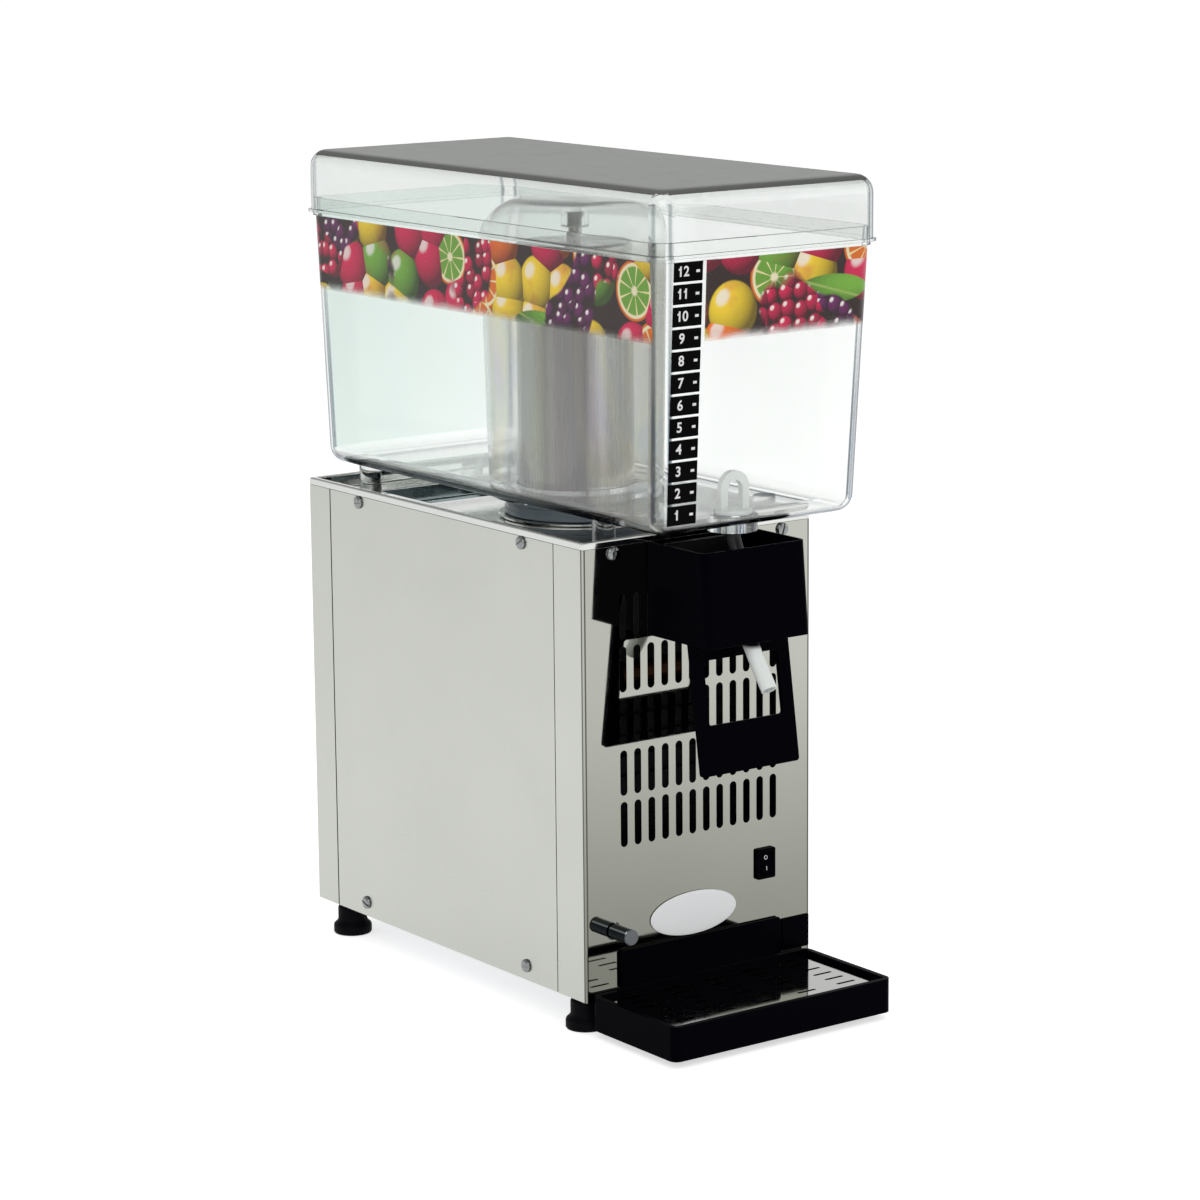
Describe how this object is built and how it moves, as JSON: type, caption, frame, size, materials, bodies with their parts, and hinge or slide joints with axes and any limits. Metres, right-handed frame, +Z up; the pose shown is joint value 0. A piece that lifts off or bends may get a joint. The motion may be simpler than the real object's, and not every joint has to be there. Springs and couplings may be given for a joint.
{
  "type": "refrigerated juice dispenser",
  "caption": "Countertop cold drink dispenser: steel casing with a clear tapered bowl, lid, cooled mixer column, push-lever tap, drip tray, vents and a working refrigeration set inside.",
  "frame": {"origin": "centre of the base of the box that holds the whole object, on the surface it stands on", "axes": "+Z up, +X to the right of a person who faces the tap, front towards -Y"},
  "size_m": [0.205, 0.455, 0.596],
  "materials": {
    "polished_steel": "mirror polished",
    "satin_steel": "satin",
    "zinc_steel": "zinc plated",
    "screw_steel": "bright",
    "clear_plastic": "clear",
    "frosted_plastic": "frosted",
    "black_plastic": "gloss",
    "black_rubber": "matt",
    "white_silicone": "translucent",
    "copper": "drawn copper tube",
    "black_enamel": "black enamel",
    "aluminium": "mill finish",
    "white_plastic": "gloss",
    "grey_plastic": "matt"
  },
  "bodies": {
    "casing": {"front_panel": "polished_steel", "top_tray": "polished_steel", "drain_tube": "polished_steel", "rear_panel": "satin_steel", "side_panel_left": "satin_steel", "side_panel_right": "satin_steel", "evaporator": "satin_steel", "lever_pin": "satin_steel", "lever_spring": "satin_steel", "base_plate": "zinc_steel", "tap_bracket": "zinc_steel", "fan_bracket": "zinc_steel", "side_screw_left_lower_front": "screw_steel", "side_screw_left_upper_front": "screw_steel", "side_screw_left_lower_rear": "screw_steel", "side_screw_left_upper_rear": "screw_steel", "side_screw_right_lower_front": "screw_steel", "side_screw_right_upper_front": "screw_steel", "side_screw_right_lower_rear": "screw_steel", "side_screw_right_upper_rear": "screw_steel", "front_screw_left": "screw_steel", "front_screw_right": "screw_steel", "tap_cover": "black_plastic", "switch_bezel": "black_plastic", "label_plate": "black_plastic", "mains_inlet": "black_plastic", "bowl_collar": "black_rubber", "drain_hose": "black_rubber", "foot_front_left": "black_rubber", "foot_front_right": "black_rubber", "foot_rear_left": "black_rubber", "foot_rear_right": "black_rubber", "grommet_front_left": "black_rubber", "grommet_front_right": "black_rubber", "grommet_rear_left": "black_rubber", "grommet_rear_right": "black_rubber", "spout_tube": "white_silicone", "evaporator_coil": "copper", "drier": "copper", "discharge_pipe": "copper", "suction_pipe": "copper", "compressor": "black_enamel", "mixer_motor": "black_enamel", "fan_motor": "black_enamel", "condenser": "aluminium", "badge": "white_plastic", "drain_plug": "grey_plastic", "thermostat": "grey_plastic"},
    "bowl": {"bowl": "clear_plastic", "tap_loop": "white_silicone"},
    "lid": {"lid": "clear_plastic"},
    "mixer": {"mixer_bell": "frosted_plastic"},
    "mixer_drive": {"mixer_shaft": "satin_steel"},
    "lever": {"lever": "black_plastic"},
    "drip_tray": {"drip_tray": "black_plastic", "tray_backplate": "black_plastic"},
    "drip_grid": {"drip_grid": "polished_steel"},
    "switch_rocker": {"switch_rocker": "black_plastic"},
    "fan": {"fan": "aluminium"},
    "thermostat_knob": {"thermostat_knob": "black_plastic"}
  },
  "joints": [
    {"name": "bowl_lift", "type": "slide", "parent": "casing", "child": "bowl", "axis": [0, 0, 1], "range_m": [0, 0.24]},
    {"name": "lid_lift", "type": "slide", "parent": "bowl", "child": "lid", "axis": [0, 0, 1], "range_m": [0, 0.12]},
    {"name": "mixer_spin", "type": "hinge", "parent": "bowl", "child": "mixer", "pos_m": [0, 0.01145, 0.4745], "axis": [0, 0, 1], "continuous": true},
    {"name": "drive_spin", "type": "hinge", "parent": "casing", "child": "mixer_drive", "pos_m": [0, 0.01145, 0.4745], "axis": [0, 0, 1], "continuous": true},
    {"name": "lever_swing", "type": "hinge", "parent": "casing", "child": "lever", "pos_m": [0, -0.16755, 0.3245], "axis": [1, 0, 0], "range_deg": [0, 12], "stiffness_Nm_per_rad": 1, "springref_deg": -11.46},
    {"name": "tray_slide", "type": "slide", "parent": "casing", "child": "drip_tray", "axis": [0, -1, 0], "range_m": [0, 0.1]},
    {"name": "grid_lift", "type": "slide", "parent": "drip_tray", "child": "drip_grid", "axis": [0, 0, 1], "range_m": [0, 0.04]},
    {"name": "switch_rock", "type": "hinge", "parent": "casing", "child": "switch_rocker", "pos_m": [0.0582, -0.12945, 0.1005], "axis": [1, 0, 0], "range_deg": [0, 16]},
    {"name": "fan_spin", "type": "hinge", "parent": "casing", "child": "fan", "pos_m": [0, -0.04155, 0.1365], "axis": [0, 1, 0], "continuous": true},
    {"name": "thermostat_turn", "type": "hinge", "parent": "casing", "child": "thermostat_knob", "pos_m": [0.055, 0.22145, 0.0825], "axis": [0, 1, 0], "range_deg": [-135, 135]}
  ],
  "couplings": [
    {"joint": "drive_spin", "follows": "mixer_spin", "ratio": 1}
  ]
}
